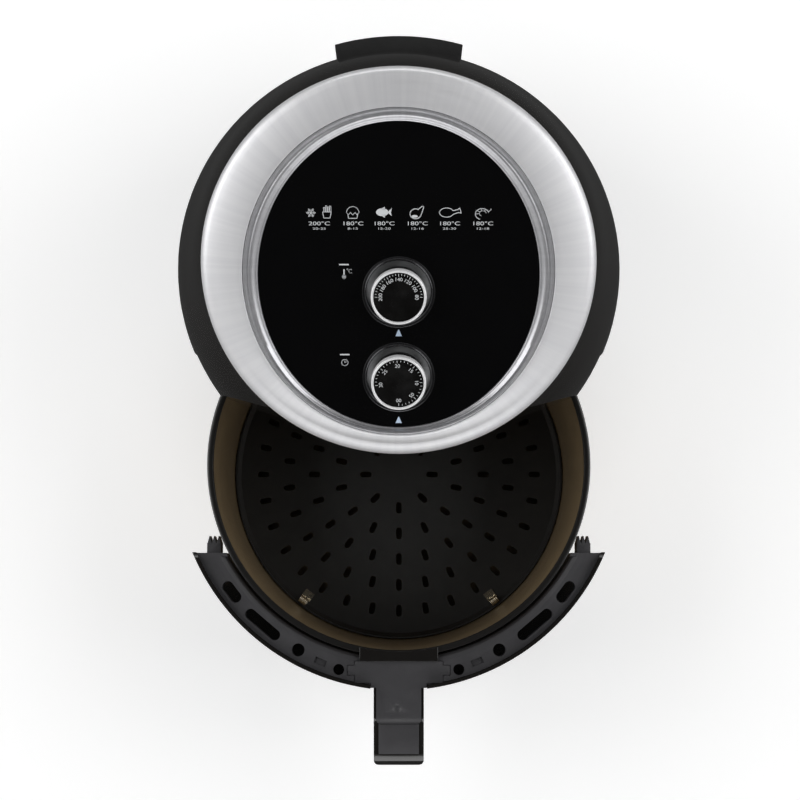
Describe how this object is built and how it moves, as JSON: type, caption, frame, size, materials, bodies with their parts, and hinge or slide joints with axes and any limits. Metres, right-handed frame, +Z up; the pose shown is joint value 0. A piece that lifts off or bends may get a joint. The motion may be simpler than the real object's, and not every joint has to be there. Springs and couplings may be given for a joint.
{
  "type": "hot-air fryer",
  "caption": "Pot-shaped hot-air fryer with a sloping round control lid, a round non-stick pan in a pull-out drawer and a hooked handle.",
  "frame": {"origin": "under the middle of the whole fryer with its drawer half out, at the underside of the rubber feet", "axes": "+Z up; front (drawer and handle) towards -Y; +X to the right seen from behind the camera at the front"},
  "size_m": [0.3214, 0.526, 0.3408],
  "materials": {
    "gloss_black": "high-gloss piano black ABS",
    "panel_black": "gloss black printed panel",
    "satin_silver": "satin silver with a fine brushed grain",
    "bezel_silver": "silver-grey satin lacquer",
    "knob_black": "satin black moulded grip",
    "knob_chrome": "polished chrome",
    "satin_grey_plastic": "fine-textured dark grey polyamide",
    "rear_black": "matt black",
    "black_plastic": "moulded black, light texture",
    "rubber": "soft black rubber",
    "nonstick": "dark bronze-brown non-stick coating",
    "tray_black": "black non-stick coating",
    "spring_steel": "bright spring wire",
    "zinc_steel": "zinc-plated sheet steel",
    "liner_steel": "aluminised sheet steel",
    "screw_steel": "plated screws",
    "heater_steel": "heat-tinted stainless tube",
    "fan_aluminium": "pressed aluminium",
    "copper": "enamelled copper winding",
    "core_steel": "laminated core",
    "bearing_bronze": "sintered bronze",
    "ceramic": "glazed ceramic and phenolic",
    "heatproof_black": "glass-filled heatproof plastic"
  },
  "bodies": {
    "housing": {"outer_housing": "gloss_black", "base_plate": "black_plastic", "rubber_feet": "rubber", "base_screws": "screw_steel", "rear_outlet_cover": "rear_black", "exhaust_duct": "zinc_steel", "cord_gland": "black_plastic", "top_ring": "satin_silver", "panel_bezel": "bezel_silver", "control_panel": "panel_black", "knob_bezels": "gloss_black", "control_bracket": "zinc_steel", "bracket_screws": "screw_steel", "thermostat_body": "ceramic", "thermostat_bulb": "zinc_steel", "timer_body": "zinc_steel", "timer_bell": "fan_aluminium", "chassis_plate": "zinc_steel", "chassis_screws": "screw_steel", "drawer_switch": "heatproof_black", "heater_chamber": "liner_steel", "heater_guard": "zinc_steel", "heating_element": "heater_steel", "heater_clips": "zinc_steel", "motor_bearings": "bearing_bronze", "motor_stator": "core_steel", "motor_coil": "copper", "motor_brackets": "zinc_steel", "thermal_fuse": "ceramic", "terminal_block": "ceramic", "inner_liner": "liner_steel", "drawer_rails": "zinc_steel"},
    "drawer": {"pan": "nonstick", "pan_bracket": "zinc_steel", "pan_screws": "screw_steel", "drawer_front_frame": "satin_grey_plastic", "drawer_front_skin": "gloss_black", "latch_clips": "satin_grey_plastic", "handle_top_plate": "satin_grey_plastic", "handle_shell": "gloss_black", "handle_inlay": "satin_grey_plastic", "handle_screws": "screw_steel", "rim_clip": "gloss_black"},
    "tray": {"crisper_tray": "tray_black", "tray_feet": "rubber", "tray_springs": "spring_steel", "tray_spring_clips": "spring_steel"},
    "temp_dial": {"temp_knob": "knob_black", "temp_knob_ring": "knob_chrome", "temp_shaft": "zinc_steel"},
    "timer_dial": {"timer_knob": "knob_black", "timer_knob_ring": "knob_chrome", "timer_shaft": "zinc_steel"},
    "fan": {"motor_shaft": "zinc_steel", "motor_rotor": "core_steel", "convection_fan": "fan_aluminium", "cooling_fan": "fan_aluminium", "fan_nut": "screw_steel"}
  },
  "joints": [
    {"name": "drawer_slide", "type": "slide", "parent": "housing", "child": "drawer", "axis": [0, -1, 0], "range_m": [-0.143, 0.157]},
    {"name": "tray_lift", "type": "slide", "parent": "drawer", "child": "tray", "axis": [0, 0, 1], "range_m": [0, 0.12]},
    {"name": "temp_turn", "type": "hinge", "parent": "housing", "child": "temp_dial", "pos_m": [0, 0.05515, 0.28485], "axis": [0, -0.3907, 0.9205], "range_deg": [-270, 0]},
    {"name": "timer_turn", "type": "hinge", "parent": "housing", "child": "timer_dial", "pos_m": [0, 0.00177, 0.26219], "axis": [0, -0.3907, 0.9205], "range_deg": [-276, 0]},
    {"name": "fan_spin", "type": "hinge", "parent": "housing", "child": "fan", "pos_m": [0, 0.093, 0.23], "axis": [0, 0, 1], "continuous": true}
  ]
}
